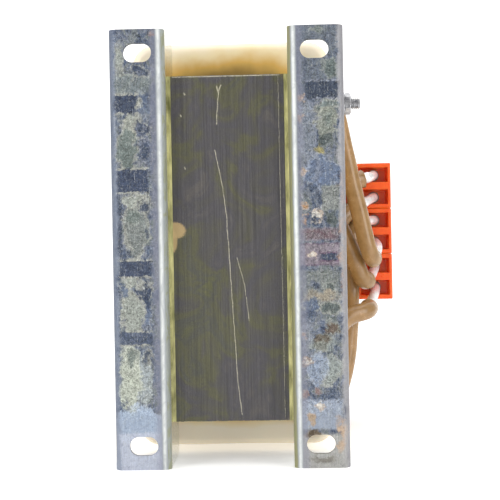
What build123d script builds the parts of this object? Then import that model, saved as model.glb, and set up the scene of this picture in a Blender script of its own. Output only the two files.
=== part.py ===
# Three-phase line choke on four zinc-plated channels, with three two-pole terminal blocks.
# The mounting face is y = 0 and the body grows towards +Y. The channels run along Z and the
# terminals are on the +X side. The origin is the centre of the four mounting slots.
import os
from math import radians, tan

from build123d import *

os.makedirs("parts", exist_ok=True)

# Channels, folded from sheet, all four alike
channel_length = 224.2
channel_width = 28.5
sheet = 2.5
bend_inside_radius = 1.8
inner_flange_height = 42.0
outer_flange_height = 30.0
inner_flange_corner = 6.0
outer_flange_corner = 4.0
slot_length = 14.5
slot_width = 9.6
slot_spacing_x = 90.0
slot_spacing_z = 200.0

# Laminated core: E stack behind the mounting face, I stack in front of its legs
stack_thickness = 58.5
core_length = 178.3
leg_width = 36.0
yoke_height = 36.0
leg_length = 90.0
core_recess = 10.0
air_gap = 1.5
strip_thickness = 2.0
strip_edge_margin = 0.5

# Coils, each a former, a winding and a taped outer wrap
former_clearance = 0.4
former_wall = 2.0
former_end_clearance = 0.5
side_build = 25.2
coil_gap = 1.15
outer_build_top = 24.0
outer_build_bottom = 19.4
wrap_thickness = 1.2
wrap_end_inset = 1.0
coil_corner_radius = 12.0
coil_rim_radius = 5.0
fit_gap = 0.2

# Clamp bolts through the corners of both yokes
clamp_bolt_diameter = 6.0
clamp_bolt_head_height = 4.0
clamp_bolt_across_flats = 10.0
clamp_nut_height = 5.0
clamp_thread_beyond_nut = 2.5
clamp_washer_diameter = 12.5
clamp_washer_thickness = 1.6
clamp_hole_in_flange = 6.6
bolt_tube_bore = 6.3
bolt_tube_diameter = 7.8
bolt_hole_in_core = 8.2

# Earth bolt on the outer flange of the right-hand mounting channel
earth_diameter = 6.0
earth_height = 24.0
earth_z = 74.7
earth_head_height = 4.0
earth_across_flats = 10.0
earth_nut_height = 3.4
earth_washer_diameter = 12.0
earth_washer_thickness = 1.2
earth_thread_beyond_nut = 4.8
earth_hole = 6.4
earth_nut_bore = 6.2

# Terminal blocks, three alike with two poles each
block_count = 3
block_pitch = 28.6
block_gap = 0.1
block_row_centre_z = 9.15
block_reach = 35.75
block_depth = 40.0
block_base_depth = 30.0
block_base_width = 9.0
block_shoulder = 3.0
block_from_top_face = 3.5
block_edge_radius = 0.8
block_end_chamfer = 0.5
pole_spacing = 13.9
pocket_width = 18.4
pocket_height = 9.4
pocket_depth = 9.0
pocket_taper = 6.0
pocket_outer_rim = 1.8
pocket_floor = 1.6
entry_diameter = 7.2
wire_from_block_edge = 10.3
cage_width = 11.3
cage_height = 8.4
cage_above_wire = 6.8
cage_clearance = 0.15
cage_bore = 6.6
screw_spacing = 11.0
screw_shank_diameter = 4.8
screw_head_diameter = 6.2
screw_head_height = 2.2
screw_slot_width = 1.0
screw_slot_depth = 1.2
screw_access_diameter = 7.0
fixing_screw_diameter = 4.0
fixing_screw_head_diameter = 7.5
fixing_screw_head_height = 2.6
fixing_screw_bite = 7.0
fixing_screw_spacing = 14.0
fixing_hole_clearance = 0.3

# Leads: a tinned conductor inside varnished sleeving
sleeve_diameter = 10.6
sleeve_bore = 6.4
conductor_diameter = 5.8
lead_hole_clearance = 0.3
conductor_bite = 9.0
straight_depth_in_pocket = 3.0
arc_share = 0.45

# Places worked out from the sizes above
half_length = channel_length / 2
upright_x = stack_thickness / 2 + strip_thickness
outer_x = upright_x + channel_width
e_stack_depth = yoke_height + leg_length
window_start_y = core_recess + yoke_height
leg_end_y = core_recess + e_stack_depth
i_stack_y = leg_end_y + air_gap
core_end_y = i_stack_y + yoke_height
overall_depth = core_end_y + core_recess
window_width = (core_length - 3 * leg_width) / 2
window_build = (window_width - coil_gap) / 2
leg_pitch = leg_width + window_width
bolt_z = leg_pitch
low_bolt_y = core_recess + yoke_height / 2
high_bolt_y = core_end_y - yoke_height / 2
bolt_places = [(y, z) for y in (low_bolt_y, high_bolt_y) for z in (-bolt_z, bolt_z)]
former_y = window_start_y + former_end_clearance
former_end_y = leg_end_y - former_end_clearance
former_x = stack_thickness + 2 * (former_clearance + former_wall)
former_z = leg_width + 2 * (former_clearance + former_wall)
wrap_y = former_y + wrap_end_inset
wrap_end_y = former_end_y - wrap_end_inset
coil_side_x = stack_thickness / 2 + side_build
block_y = overall_depth - block_from_top_face - block_depth
block_end_y = block_y + block_depth
block_outer_x = outer_x + block_reach
wire_x = block_outer_x - wire_from_block_edge
pocket_x = block_outer_x - pocket_outer_rim - pocket_width / 2
cage_y = block_y + pocket_depth + pocket_floor
cage_length = block_depth - 2 * (pocket_depth + pocket_floor)
cage_inner_x = wire_x + cage_above_wire - cage_width
cage_x = cage_inner_x + cage_width / 2
screw_ys = [block_y + block_depth / 2 + end * screw_spacing / 2 for end in (-1, 1)]
fixing_y = overall_depth - outer_flange_height / 2
block_zs = [block_row_centre_z + (1 - i) * block_pitch for i in range(block_count)]
pole_zs = [z + side * pole_spacing / 2 for z in block_zs for side in (1, -1)]
conductor_end_y = cage_y + conductor_bite


def plane_at_y(y):
    """Plane facing the mounting side, with X to the right and Z up. Extrusion goes towards -Y."""
    return Plane(origin=(0, y, 0), x_dir=(1, 0, 0), z_dir=(0, -1, 0))


def save(builder, name):
    """Labels a finished piece and writes it to its own file."""
    builder.part.label = name
    export_step(builder.part, "parts/" + name + ".step")


# Core
with BuildPart() as core_e_stack:
    with BuildSketch(Plane.YZ.offset(-stack_thickness / 2)):
        with Locations((core_recess + e_stack_depth / 2, 0)):
            Rectangle(e_stack_depth, core_length)
        with Locations(*[(window_start_y + leg_length / 2, s * leg_pitch / 2) for s in (-1, 1)]):
            Rectangle(leg_length, window_width, mode=Mode.SUBTRACT)
        with Locations((low_bolt_y, -bolt_z), (low_bolt_y, bolt_z)):
            Circle(bolt_hole_in_core / 2, mode=Mode.SUBTRACT)
    extrude(amount=stack_thickness)
save(core_e_stack, "core_e_stack")

with BuildPart() as core_i_stack:
    with BuildSketch(Plane.YZ.offset(-stack_thickness / 2)):
        with Locations((i_stack_y + yoke_height / 2, 0)):
            Rectangle(yoke_height, core_length)
        with Locations((high_bolt_y, -bolt_z), (high_bolt_y, bolt_z)):
            Circle(bolt_hole_in_core / 2, mode=Mode.SUBTRACT)
    extrude(amount=stack_thickness)
save(core_i_stack, "core_i_stack")

with BuildPart() as air_gap_spacers:
    with BuildSketch(plane_at_y(i_stack_y)):
        with Locations((0, -leg_pitch), (0, 0), (0, leg_pitch)):
            Rectangle(stack_thickness, leg_width)
    extrude(amount=air_gap)
save(air_gap_spacers, "air_gap_spacers")


# Channels
def channel_outline(side, web_y, inward):
    """Corners of the folded section, from the inner flange's free edge round to its inside."""
    inner = side * upright_x
    inner_face = side * (upright_x + sheet)
    outer = side * outer_x
    outer_face = side * (outer_x - sheet)
    inner_tip = web_y + inward * inner_flange_height
    outer_tip = web_y + inward * outer_flange_height
    web_inside = web_y + inward * sheet
    return [
        (inner, inner_tip), (inner, web_y), (outer, web_y), (outer, outer_tip),
        (outer_face, outer_tip), (outer_face, web_inside), (inner_face, web_inside),
        (inner_face, inner_tip),
    ]


def make_channel(name, side, web_y, inward, bolt_y, flange_holes):
    """One folded channel. flange_holes is a list of (y, z, diameter) in the outer flange."""
    with BuildPart() as channel:
        with BuildSketch(Plane.XY.offset(-half_length)) as section:
            with BuildLine():
                Polyline(*channel_outline(side, web_y, inward), close=True)
            make_face()
            at_web = section.vertices().filter_by(lambda v: abs(v.Y - web_y) < sheet / 2)
            fillet(at_web, bend_inside_radius + sheet)
            inside = section.vertices().filter_by(
                lambda v: abs(v.Y - web_y - inward * sheet) < sheet / 4 and
                upright_x + sheet / 2 < abs(v.X) < outer_x - sheet / 2)
            fillet(inside, bend_inside_radius)
        extrude(amount=channel_length)
        tips = channel.edges().filter_by(Axis.X).filter_by(lambda e: abs(e.length - sheet) < sheet / 100)
        inner_tips = tips.filter_by(lambda e: abs(e.center().X) < outer_x - 2 * sheet)
        outer_tips = tips.filter_by(lambda e: abs(e.center().X) > outer_x - 2 * sheet)
        fillet(inner_tips, inner_flange_corner)
        fillet(outer_tips, outer_flange_corner)
        web_middle_y = web_y + inward * sheet / 2
        slot_places = [(side * slot_spacing_x / 2, s * slot_spacing_z / 2) for s in (-1, 1)]
        with BuildSketch(plane_at_y(web_middle_y)):
            with Locations(*slot_places):
                SlotOverall(slot_length, slot_width)
        extrude(amount=sheet, both=True, mode=Mode.SUBTRACT)
        with BuildSketch(Plane.YZ.offset(side * (upright_x + sheet / 2))):
            with Locations((bolt_y, -bolt_z), (bolt_y, bolt_z)):
                Circle(clamp_hole_in_flange / 2)
        extrude(amount=sheet, both=True, mode=Mode.SUBTRACT)
        if flange_holes:
            with BuildSketch(Plane.YZ.offset(side * (outer_x - sheet / 2))):
                for y, z, diameter in flange_holes:
                    with Locations((y, z)):
                        Circle(diameter / 2)
            extrude(amount=sheet, both=True, mode=Mode.SUBTRACT)
    save(channel, name)


earth_holes = [(earth_height, earth_z, earth_hole)]
fixing_places = [(fixing_y, z + s * fixing_screw_spacing / 2) for z in block_zs for s in (-1, 1)]
fixing_hole = fixing_screw_diameter + fixing_hole_clearance
fixing_holes = [(y, z, fixing_hole) for y, z in fixing_places]
make_channel("mounting_channel_left", -1, 0, 1, low_bolt_y, [])
make_channel("mounting_channel_right", 1, 0, 1, low_bolt_y, earth_holes)
make_channel("top_channel_left", -1, overall_depth, -1, high_bolt_y, [])
make_channel("top_channel_right", 1, overall_depth, -1, high_bolt_y, fixing_holes)


# Insulating strips between the stack and the uprights
def make_strip(name, side, near_y, far_y, bolt_y):
    with BuildPart() as strip:
        with BuildSketch(Plane.YZ.offset(side * (stack_thickness / 2 + strip_thickness / 2))):
            with Locations(((near_y + far_y) / 2, 0)):
                Rectangle(far_y - near_y, core_length)
            with Locations((bolt_y, -bolt_z), (bolt_y, bolt_z)):
                Circle(bolt_hole_in_core / 2, mode=Mode.SUBTRACT)
        extrude(amount=strip_thickness / 2, both=True)
    save(strip, name)


low_strip_ys = (core_recess, inner_flange_height + strip_edge_margin)
high_strip_ys = (overall_depth - inner_flange_height - strip_edge_margin, core_end_y)
make_strip("mounting_strip_left", -1, *low_strip_ys, low_bolt_y)
make_strip("mounting_strip_right", 1, *low_strip_ys, low_bolt_y)
make_strip("top_strip_left", -1, *high_strip_ys, high_bolt_y)
make_strip("top_strip_right", 1, *high_strip_ys, high_bolt_y)


# Clamp bolts, with their nuts, washers and insulating tubes
flange_inside_x = upright_x + sheet
washer_face_x = flange_inside_x + clamp_washer_thickness
bolt_tip_x = washer_face_x + clamp_nut_height + clamp_thread_beyond_nut

with BuildPart() as clamp_bolts:
    with BuildSketch(Plane.YZ.offset(-washer_face_x - clamp_bolt_head_height)):
        with Locations(*bolt_places):
            RegularPolygon(clamp_bolt_across_flats / 2, 6, major_radius=False)
    extrude(amount=clamp_bolt_head_height)
    with BuildSketch(Plane.YZ.offset(-washer_face_x)):
        with Locations(*bolt_places):
            Circle(clamp_bolt_diameter / 2)
    extrude(amount=washer_face_x + bolt_tip_x)
save(clamp_bolts, "clamp_bolts")

with BuildPart() as clamp_nuts:
    with BuildSketch(Plane.YZ.offset(washer_face_x)):
        with Locations(*bolt_places):
            RegularPolygon(clamp_bolt_across_flats / 2, 6, major_radius=False)
            Circle(clamp_bolt_diameter / 2, mode=Mode.SUBTRACT)
    extrude(amount=clamp_nut_height)
save(clamp_nuts, "clamp_nuts")

with BuildPart() as clamp_washers:
    for start_x in (-washer_face_x, flange_inside_x):
        with BuildSketch(Plane.YZ.offset(start_x)):
            with Locations(*bolt_places):
                Circle(clamp_washer_diameter / 2)
                Circle(clamp_bolt_diameter / 2, mode=Mode.SUBTRACT)
        extrude(amount=clamp_washer_thickness)
save(clamp_washers, "clamp_washers")

with BuildPart() as bolt_tubes:
    with BuildSketch(Plane.YZ.offset(-upright_x)):
        with Locations(*bolt_places):
            Circle(bolt_tube_diameter / 2)
            Circle(bolt_tube_bore / 2, mode=Mode.SUBTRACT)
    extrude(amount=2 * upright_x)
save(bolt_tubes, "bolt_tubes")


# Earth bolt, nut and washer
earth_place = (earth_height, earth_z)
earth_seat_x = outer_x - sheet
earth_nut_x = outer_x + earth_washer_thickness

with BuildPart() as earth_bolt:
    with BuildSketch(Plane.YZ.offset(earth_seat_x - earth_head_height)):
        with Locations(earth_place):
            RegularPolygon(earth_across_flats / 2, 6, major_radius=False)
    extrude(amount=earth_head_height)
    with BuildSketch(Plane.YZ.offset(earth_seat_x)):
        with Locations(earth_place):
            Circle(earth_diameter / 2)
    extrude(amount=earth_nut_x + earth_nut_height + earth_thread_beyond_nut - earth_seat_x)
    chamfer(earth_bolt.faces().sort_by(Axis.X)[-1].edges(), earth_diameter / 10)
save(earth_bolt, "earth_bolt")

with BuildPart() as earth_nut:
    with BuildSketch(Plane.YZ.offset(earth_nut_x)):
        with Locations(earth_place):
            RegularPolygon(earth_across_flats / 2, 6, major_radius=False)
            Circle(earth_nut_bore / 2, mode=Mode.SUBTRACT)
    extrude(amount=earth_nut_height)
save(earth_nut, "earth_nut")

with BuildPart() as earth_washer:
    with BuildSketch(Plane.YZ.offset(outer_x)):
        with Locations(earth_place):
            Circle(earth_washer_diameter / 2)
            Circle(earth_nut_bore / 2, mode=Mode.SUBTRACT)
    extrude(amount=earth_washer_thickness)
save(earth_washer, "earth_washer")

# Lead routes, from inside the winding to the mouth of the terminal's pocket. Both lists give x from
# the channel's outer face in shares of block_reach. Near the coil, y is a share of leg_length from
# the window's start, and z a share of leg_pitch.
coil_side_route = {
    1: [(-0.273, 0.778, 0.871), (0.024, 0.867, 0.724)],
    2: [(-0.273, 0.789, 0.049), (0.024, 0.867, 0.183)],
    3: [(-0.273, 0.800, -1.420), (0.013, 0.861, -1.265), (0.158, 0.900, -1.012), (0.225, 0.917, -0.703)],
    4: [(-0.273, 0.544, 1.307), (0.013, 0.589, 1.124), (0.124, 0.633, 0.857)],
    5: [(-0.273, 0.644, 0.379), (0.013, 0.722, 0.211)],
    6: [(-0.273, 0.456, -0.815), (-0.007, 0.500, -0.647), (0.175, 0.522, -0.569)],
}
# Near the block, y counts back from its open face in shares of block_depth, and z counts from the
# lead's own pole in shares of block_pitch
block_side_route = {
    1: [(0.231, 0.287, -0.182), (0.636, 0.150, -0.059)],
    2: [(0.242, 0.287, -0.297), (0.552, 0.188, -0.105)],
    3: [(0.248, 0.287, -1.507), (0.259, 0.290, -0.773), (0.281, 0.270, -0.206), (0.566, 0.170, -0.010)],
    4: [(0.256, 0.900, 1.252), (0.404, 0.900, 0.448), (0.505, 0.895, -0.119), (0.578, 0.810, -0.350),
        (0.662, 0.525, -0.350), (0.740, 0.225, -0.084)],
    5: [(0.186, 0.657, 0.507), (0.309, 0.615, 0.122), (0.449, 0.550, -0.385), (0.628, 0.237, -0.190)],
    6: [(0.488, 1.075, -0.420), (0.522, 0.675, -0.346), (0.664, 0.275, -0.108)],
}
# Where each sleeve stops: the run it ends on, counted from the coil, and how far along it
sleeve_stops = {1: (2, 0.68), 2: (2, 0.6), 3: (6, 0.5), 4: (6, 0.36), 5: (4, 0.5), 6: (3, 0.55)}


def lead_route(pole):
    """All the points of a lead, from inside its winding to where it stops in its cage."""
    pole_z = pole_zs[pole - 1]
    near_coil = [
        (outer_x + x * block_reach, window_start_y + y * leg_length, z * leg_pitch)
        for x, y, z in coil_side_route[pole]
    ]
    near_block = [
        (outer_x + x * block_reach, block_y - y * block_depth, pole_z + z * block_pitch)
        for x, y, z in block_side_route[pole]
    ]
    in_block = [
        (wire_x, block_y + straight_depth_in_pocket, pole_z),
        (wire_x, conductor_end_y, pole_z),
    ]
    return near_coil + near_block + in_block


def corner_radii(points):
    """Radius of each corner: a share of its shorter run, so that the arcs are as large as fit."""
    places = [Vector(*point) for point in points]
    runs = [b - a for a, b in zip(places, places[1:])]
    return [
        arc_share * min(a.length, b.length) / tan(radians(a.get_angle(b)) / 2)
        for a, b in zip(runs, runs[1:])
    ]


def sweep_lead(points, radii, outside, inside):
    """Sweeps a round section, hollow if inside is given, along straight runs and tangent arcs."""
    with BuildLine() as path:
        FilletPolyline(*points, radius=radii)
    route = path.wire()
    with BuildSketch(Plane(origin=route @ 0, z_dir=route % 0)) as section:
        Circle(outside / 2)
        if inside:
            Circle(inside / 2, mode=Mode.SUBTRACT)
    sweep(sections=section.sketch, path=route)
    return route.length


def between(start, end, share):
    """The point a share of the way from start to end."""
    return tuple(a + (b - a) * share for a, b in zip(start, end))


lead_points = {pole: lead_route(pole) for pole in coil_side_route}
for pole, points in lead_points.items():
    radii = corner_radii(points)
    with BuildPart() as conductor:
        length = sweep_lead(points, radii, conductor_diameter, 0)
    save(conductor, f"lead_{pole}_conductor")
    stop_run, share = sleeve_stops[pole]
    sleeve_end = between(points[stop_run], points[stop_run + 1], share)
    sleeve_points = points[:stop_run + 1] + [sleeve_end]
    with BuildPart() as sleeve:
        sleeve_length = sweep_lead(sleeve_points, radii[:stop_run], sleeve_diameter, sleeve_bore)
    save(sleeve, f"lead_{pole}_sleeve")
    print(f"lead {pole}: {length:.0f} mm, sleeve {sleeve_length:.0f} mm, radii",
          " ".join(f"{radius:.0f}" for radius in radii))


# Coils
def coil_plan(centre_z, low_build, high_build, inset, plane):
    """Rounded outline of a coil on the given plane, drawn in by inset on every side."""
    low = centre_z - leg_width / 2 - low_build + inset
    high = centre_z + leg_width / 2 + high_build - inset
    with BuildSketch(plane) as plan:
        with Locations((0, (low + high) / 2)):
            RectangleRounded(2 * (coil_side_x - inset), high - low, coil_corner_radius - inset)
    return plan.sketch


def former_hole(centre_z, far_y):
    """Outline of the hole that a winding and its wrap leave for their former."""
    with BuildSketch(plane_at_y(far_y)) as hole:
        with Locations((0, centre_z)):
            Rectangle(former_x + 2 * fit_gap, former_z + 2 * fit_gap)
    return hole.sketch


def lead_hole(pole):
    """Slanting hole round the start of a lead."""
    start = lead_points[pole][:3]
    with BuildPart() as hole:
        sweep_lead(start, corner_radii(start), sleeve_diameter + 2 * lead_hole_clearance, 0)
    return hole.part


def make_coil(name, centre_z, low_build, high_build, poles):
    builds = (centre_z, low_build, high_build)
    inside_y = wrap_y + wrap_thickness
    inside_end_y = wrap_end_y - wrap_thickness
    lead_holes = [lead_hole(pole) for pole in poles]
    with BuildPart() as former:
        with BuildSketch(plane_at_y(former_end_y)):
            with Locations((0, centre_z)):
                Rectangle(former_x, former_z)
                Rectangle(former_x - 2 * former_wall, former_z - 2 * former_wall, mode=Mode.SUBTRACT)
        extrude(amount=former_end_y - former_y)
    save(former, name + "_former")

    with BuildPart() as winding:
        winding_end_y = inside_end_y - fit_gap
        extrude(coil_plan(*builds, wrap_thickness + fit_gap, plane_at_y(winding_end_y)),
                amount=winding_end_y - inside_y - fit_gap)
        fillet(winding.faces().filter_by(Axis.Y).edges(), coil_rim_radius - wrap_thickness - fit_gap)
        extrude(former_hole(centre_z, wrap_end_y), amount=wrap_end_y - wrap_y, mode=Mode.SUBTRACT)
        add(lead_holes, mode=Mode.SUBTRACT)
    save(winding, name + "_winding")

    with BuildPart() as hollow:
        extrude(coil_plan(*builds, wrap_thickness, plane_at_y(inside_end_y)),
                amount=inside_end_y - inside_y)
        fillet(hollow.faces().filter_by(Axis.Y).edges(), coil_rim_radius - wrap_thickness)
    with BuildPart() as wrap:
        extrude(coil_plan(*builds, 0, plane_at_y(wrap_end_y)), amount=wrap_end_y - wrap_y)
        fillet(wrap.faces().filter_by(Axis.Y).edges(), coil_rim_radius)
        add(hollow.part, mode=Mode.SUBTRACT)
        extrude(former_hole(centre_z, wrap_end_y), amount=wrap_end_y - wrap_y, mode=Mode.SUBTRACT)
        add(lead_holes, mode=Mode.SUBTRACT)
    save(wrap, name + "_wrap")


make_coil("coil_top", leg_pitch, window_build, outer_build_top, (1, 4))
make_coil("coil_middle", 0, window_build, window_build, (2, 5))
make_coil("coil_bottom", -leg_pitch, outer_build_bottom, window_build, (3, 6))


# Terminal blocks
shoulder_x = outer_x + block_base_width
face_x = shoulder_x + block_shoulder


def block_outline():
    """Section of a block: its base against the flange, its shoulders and its two open faces."""
    base_y = overall_depth - outer_flange_height
    return [
        (outer_x, base_y), (shoulder_x, base_y), (face_x, block_y), (block_outer_x, block_y),
        (block_outer_x, block_end_y), (face_x, block_end_y),
        (shoulder_x, base_y + block_base_depth), (outer_x, base_y + block_base_depth),
    ]


for number, block_z in enumerate(block_zs, start=1):
    width = block_pitch - block_gap
    own_poles = [block_z + side * pole_spacing / 2 for side in (-1, 1)]
    with BuildPart() as block:
        with BuildSketch(Plane.XY.offset(block_z - width / 2)):
            with BuildLine():
                Polyline(*block_outline(), close=True)
            make_face()
        extrude(amount=width)
        far_corners = block.edges().filter_by(Axis.Z).group_by(Axis.X)[-1]
        fillet(far_corners, block_edge_radius)
        end_edges = block.faces().filter_by(Plane.XY).edges()
        chamfer(end_edges.filter_by(lambda e: e.center().X > face_x), block_end_chamfer)
        for open_y, direction in ((block_y, -1), (block_end_y, 1)):
            with BuildSketch(plane_at_y(open_y)):
                with Locations(*[(pocket_x, z) for z in own_poles]):
                    Rectangle(pocket_width, pocket_height)
            extrude(amount=direction * pocket_depth, taper=pocket_taper, mode=Mode.SUBTRACT)
        with BuildSketch(plane_at_y(block_end_y)):
            with Locations(*[(wire_x, z) for z in own_poles]):
                Circle(entry_diameter / 2)
        extrude(amount=block_depth, mode=Mode.SUBTRACT)
        with BuildSketch(plane_at_y(cage_y + cage_length)):
            with Locations(*[(cage_x, z) for z in own_poles]):
                Rectangle(cage_width + 2 * cage_clearance, cage_height + 2 * cage_clearance)
        extrude(amount=cage_length, mode=Mode.SUBTRACT)
        with BuildSketch(Plane.YZ.offset(block_outer_x)):
            with Locations(*[(y, z) for y in screw_ys for z in own_poles]):
                Circle(screw_access_diameter / 2)
        extrude(amount=cage_x - block_outer_x, mode=Mode.SUBTRACT)
        with BuildSketch(Plane.YZ.offset(outer_x)):
            with Locations(*[(fixing_y, block_z + s * fixing_screw_spacing / 2) for s in (-1, 1)]):
                Circle(fixing_screw_diameter / 2)
        extrude(amount=fixing_screw_bite, mode=Mode.SUBTRACT)
    save(block, f"terminal_block_{number}")

with BuildPart() as clamp_cages:
    with BuildSketch(plane_at_y(cage_y + cage_length)):
        with Locations(*[(cage_x, z) for z in pole_zs]):
            Rectangle(cage_width, cage_height)
        with Locations(*[(wire_x, z) for z in pole_zs]):
            Circle(cage_bore / 2, mode=Mode.SUBTRACT)
    extrude(amount=cage_length)
    with BuildSketch(Plane.YZ.offset(cage_inner_x + cage_width)):
        with Locations(*[(y, z) for y in screw_ys for z in pole_zs]):
            Circle(screw_shank_diameter / 2)
    extrude(amount=wire_x - cage_inner_x - cage_width, mode=Mode.SUBTRACT)
save(clamp_cages, "clamp_cages")

screw_tip_x = wire_x + cage_bore / 2
screw_head_x = cage_inner_x + cage_width
with BuildPart() as terminal_screws:
    screw_places = [(y, z) for y in screw_ys for z in pole_zs]
    with BuildSketch(Plane.YZ.offset(screw_tip_x)):
        with Locations(*screw_places):
            Circle(screw_shank_diameter / 2)
    extrude(amount=screw_head_x - screw_tip_x)
    with BuildSketch(Plane.YZ.offset(screw_head_x)):
        with Locations(*screw_places):
            Circle(screw_head_diameter / 2)
    extrude(amount=screw_head_height)
    with BuildSketch(Plane.YZ.offset(screw_head_x + screw_head_height)):
        with Locations(*screw_places):
            Rectangle(screw_head_diameter, screw_slot_width)
    extrude(amount=-screw_slot_depth, mode=Mode.SUBTRACT)
save(terminal_screws, "terminal_screws")

with BuildPart() as terminal_fixing_screws:
    with BuildSketch(Plane.YZ.offset(outer_x - sheet - fixing_screw_head_height)):
        with Locations(*fixing_places):
            Circle(fixing_screw_head_diameter / 2)
    extrude(amount=fixing_screw_head_height)
    with BuildSketch(Plane.YZ.offset(outer_x - sheet)):
        with Locations(*fixing_places):
            Circle(fixing_screw_diameter / 2)
    extrude(amount=sheet + fixing_screw_bite)
save(terminal_fixing_screws, "terminal_fixing_screws")
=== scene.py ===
import math
import random

import bmesh
import bpy
from mathutils import Matrix, Quaternion, Vector, noise


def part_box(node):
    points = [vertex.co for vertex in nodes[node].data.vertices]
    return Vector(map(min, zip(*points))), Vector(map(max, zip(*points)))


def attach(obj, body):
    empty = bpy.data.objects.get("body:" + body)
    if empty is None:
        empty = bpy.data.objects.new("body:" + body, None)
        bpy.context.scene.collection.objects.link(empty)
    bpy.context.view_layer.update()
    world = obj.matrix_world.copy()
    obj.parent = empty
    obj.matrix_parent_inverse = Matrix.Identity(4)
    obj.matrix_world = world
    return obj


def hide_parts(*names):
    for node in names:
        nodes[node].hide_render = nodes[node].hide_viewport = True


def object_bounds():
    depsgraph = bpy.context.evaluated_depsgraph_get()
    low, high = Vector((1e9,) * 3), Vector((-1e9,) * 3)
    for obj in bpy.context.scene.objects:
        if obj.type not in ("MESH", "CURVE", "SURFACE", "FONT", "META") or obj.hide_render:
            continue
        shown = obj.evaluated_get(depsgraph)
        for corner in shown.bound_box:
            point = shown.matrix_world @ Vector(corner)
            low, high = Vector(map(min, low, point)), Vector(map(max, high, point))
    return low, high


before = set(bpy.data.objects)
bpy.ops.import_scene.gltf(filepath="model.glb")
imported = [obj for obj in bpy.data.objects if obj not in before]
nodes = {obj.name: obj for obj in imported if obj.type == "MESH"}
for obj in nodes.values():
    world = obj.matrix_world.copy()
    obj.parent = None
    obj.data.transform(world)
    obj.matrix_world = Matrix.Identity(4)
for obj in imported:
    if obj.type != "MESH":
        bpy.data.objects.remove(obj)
solid_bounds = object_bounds()
MM = 0.001
UP = Vector((0, 0, 1))


# Small helpers
def linear(code):
    """The linear RGBA value of an sRGB hex colour."""
    parts = [int(code[i:i + 2], 16) / 255 for i in (1, 3, 5)]
    return [p / 12.92 if p <= 0.04045 else ((p + 0.055) / 1.055) ** 2.4 for p in parts] + [1.0]


def add(tree, kind, links=None, **settings):
    """Adds a node, gives it its settings, and sets or links its inputs. Returns its first output."""
    made = tree.nodes.new(kind)
    for name, value in settings.items():
        setattr(made, name, value)
    for key, value in (links or {}).items():
        enabled = [s for s in made.inputs if s.enabled]
        socket = enabled[key] if isinstance(key, int) else next(s for s in enabled if s.name == key)
        if isinstance(value, bpy.types.NodeSocket):
            tree.links.new(value, socket)
        else:
            socket.default_value = linear(value) if isinstance(value, str) else value
    return next((s for s in made.outputs if s.enabled), None)


def new_material(name):
    """An empty node material: its tree and its surface shader."""
    material = bpy.data.materials.new(name)
    material.use_nodes = True
    tree = material.node_tree
    tree.nodes.clear()
    surface = tree.nodes.new("ShaderNodeBsdfPrincipled")
    output = tree.nodes.new("ShaderNodeOutputMaterial")
    tree.links.new(surface.outputs["BSDF"], output.inputs["Surface"])
    return material, tree, surface


def place_mm(tree):
    """The point on the surface in millimetres, in the shared frame."""
    coords = tree.nodes.new("ShaderNodeTexCoord").outputs["Object"]
    return add(tree, "ShaderNodeVectorMath", {0: coords, "Scale": 1 / MM}, operation="SCALE")


def split(tree, vector):
    """The X, Y and Z outputs of a vector."""
    parts = tree.nodes.new("ShaderNodeSeparateXYZ")
    tree.links.new(vector, parts.inputs[0])
    return parts.outputs["X"], parts.outputs["Y"], parts.outputs["Z"]


def dress(piece, material):
    """Gives a piece its one material."""
    piece.data.materials.clear()
    piece.data.materials.append(material)


def finish_piece(name, mesh, material, replaced=(), smooth=True):
    """Makes a piece from a bmesh, dresses it and lets it ride on the root body."""
    data = bpy.data.meshes.new(name)
    bmesh.ops.recalc_face_normals(mesh, faces=mesh.faces)
    mesh.to_mesh(data)
    mesh.free()
    if smooth:
        data.shade_smooth()
        data.set_sharp_from_angle(angle=math.radians(38))
    piece = bpy.data.objects.new(name, data)
    bpy.context.scene.collection.objects.link(piece)
    dress(piece, material)
    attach(piece, "root")
    if replaced:
        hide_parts(*replaced)
    return piece


def loft(mesh, loops, closed=False):
    """Skins loops of points, in millimetres. closed joins the last to the first, else both are capped."""
    rows = [[mesh.verts.new(Vector(point) * MM) for point in loop] for loop in loops]
    pairs = list(zip(rows, rows[1:])) + ([(rows[-1], rows[0])] if closed else [])
    for row, after in pairs:
        for i in range(len(row)):
            j = (i + 1) % len(row)
            mesh.faces.new((row[i], row[j], after[j], after[i]))
    if not closed:
        mesh.faces.new(rows[0])
        mesh.faces.new(list(reversed(rows[-1])))


def span(name):
    """Lowest and highest corner of a CAD node, in millimetres."""
    low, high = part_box(name)
    return low / MM, high / MM


# Camera, at the photograph's angle: square to the mounting face and 0.56 m from it, right of centre
camera_place = Vector((29.4, -560, -0.7)) * MM
camera_aim = Vector((10.7, 0, -1.2)) * MM
camera_lean = math.radians(1.06)
camera_lens = 79.7

camera_data = bpy.data.cameras.new("camera")
camera_data.lens = camera_lens
camera_data.sensor_width = 36
camera = bpy.data.objects.new("camera", camera_data)
bpy.context.scene.collection.objects.link(camera)
forward = (camera_aim - camera_place).normalized()
camera_up = Quaternion(forward, camera_lean) @ (UP - UP.dot(forward) * forward).normalized()
camera_right = forward.cross(camera_up)
turn = Matrix((camera_right, camera_up, -forward)).transposed()
camera.matrix_world = Matrix.Translation(camera_place) @ turn.to_4x4()
bpy.context.scene.camera = camera


# Studio: a pale floor that curves up into a backdrop, two soft boxes and a light from above
def soft_box(name, place, aim, width, height, watts):
    light = bpy.data.lights.new(name, "AREA")
    light.shape = "RECTANGLE"
    light.size = width
    light.size_y = height
    light.energy = watts
    lamp = bpy.data.objects.new(name, light)
    bpy.context.scene.collection.objects.link(lamp)
    lamp.location = place
    lamp.rotation_euler = (Vector(aim) - Vector(place)).to_track_quat("-Z", "Y").to_euler()


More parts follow.
